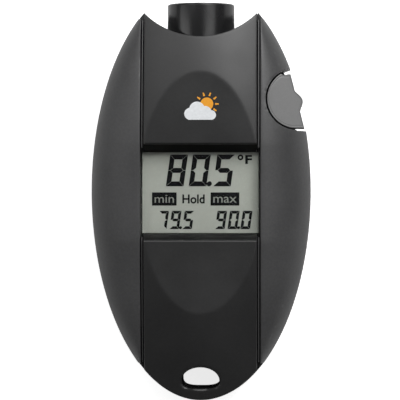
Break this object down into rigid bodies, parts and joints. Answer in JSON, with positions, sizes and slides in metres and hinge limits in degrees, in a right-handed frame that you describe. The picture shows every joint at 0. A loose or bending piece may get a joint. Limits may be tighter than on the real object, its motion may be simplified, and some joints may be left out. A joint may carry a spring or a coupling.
{
  "type": "handheld weather meter",
  "caption": "Pocket weather meter: oval black shell, sensor barrel on top, LCD across the middle, side thumb rocker, lanyard eye and a coin-cell cap at the back.",
  "frame": {"origin": "on the flat back face, under the centre of the body's oval outline", "axes": "+Z out of the display, +Y towards the sensor barrel, +X to the right of the display as it is read"},
  "size_m": [0.0658, 0.1185, 0.026],
  "materials": {
    "moulded_shell": "black ABS with a fine moulded grain",
    "side_cover": "black ABS with a fine moulded grain, a little paler than the centre panel",
    "barrel_plastic": "semi-gloss black, turned",
    "rocker_plastic": "mid-grey, smooth satin",
    "lens": "clear polished window",
    "display_cell": "greenish grey liquid-crystal cell with dark segments",
    "rubber": "black, soft",
    "white_plastic": "off-white moulded",
    "circuit_board": "green solder mask on glass-fibre board",
    "chip_plastic": "black epoxy package",
    "steel": "plain bright steel",
    "plated_brass": "plated spring strip",
    "filter_glass": "dark polished sensor window"
  },
  "bodies": {
    "body": {"barrel_screw_1": "steel", "barrel_screw_2": "steel", "barrel_seal": "rubber", "battery_cap_seal": "rubber", "battery_contact_negative": "plated_brass", "battery_contact_positive": "plated_brass", "board_screw_1": "steel", "board_screw_2": "steel", "board_screw_3": "steel", "board_screw_4": "steel", "coin_cell": "steel", "controller_chip": "chip_plastic", "display_lens": "lens", "front_panel": "moulded_shell", "lcd_cell": "display_cell", "lcd_connector_bottom": "rubber", "lcd_connector_top": "rubber", "lcd_frame": "white_plastic", "lcd_reflector": "white_plastic", "left_side_cover": "side_cover", "lens_gasket_bottom": "rubber", "lens_gasket_top": "rubber", "main_board": "circuit_board", "panel_screw_1": "steel", "panel_screw_2": "steel", "panel_screw_3": "steel", "panel_screw_4": "steel", "rear_case": "moulded_shell", "right_side_cover": "side_cover", "rocker_pivot_pin": "steel", "rocker_spring": "steel", "sensor_barrel": "barrel_plastic", "sensor_board": "circuit_board", "sensor_can": "steel", "sensor_holder": "white_plastic", "sensor_ribbon": "white_plastic", "sensor_window": "filter_glass", "switch_body": "steel", "timing_crystal": "steel", "window_retaining_ring": "steel", "wing_screw_1": "steel", "wing_screw_2": "steel", "wing_screw_3": "steel", "wing_screw_4": "steel"},
    "rocker": {"thumb_rocker": "rocker_plastic"},
    "switch_slide": {"switch_stem": "white_plastic"},
    "cap": {"battery_cap": "moulded_shell"}
  },
  "joints": [
    {"name": "rocker_tilt", "type": "hinge", "parent": "body", "child": "rocker", "pos_m": [0.0285, 0.02735, 0.012], "axis": [0, 0, 1], "range_deg": [-7, 7], "stiffness_Nm_per_rad": 0.05, "deforming": ["rocker_spring"]},
    {"name": "switch_travel", "type": "slide", "parent": "body", "child": "switch_slide", "axis": [0, 1, 0], "range_m": [-0.0018, 0.0018]},
    {"name": "cap_turn", "type": "hinge", "parent": "body", "child": "cap", "pos_m": [0, -0.028, 0], "axis": [0, 0, -1], "range_deg": [0, 60]}
  ],
  "couplings": [
    {"joint": "switch_travel", "follows": "rocker_tilt", "m_per_rad": -0.0145}
  ]
}
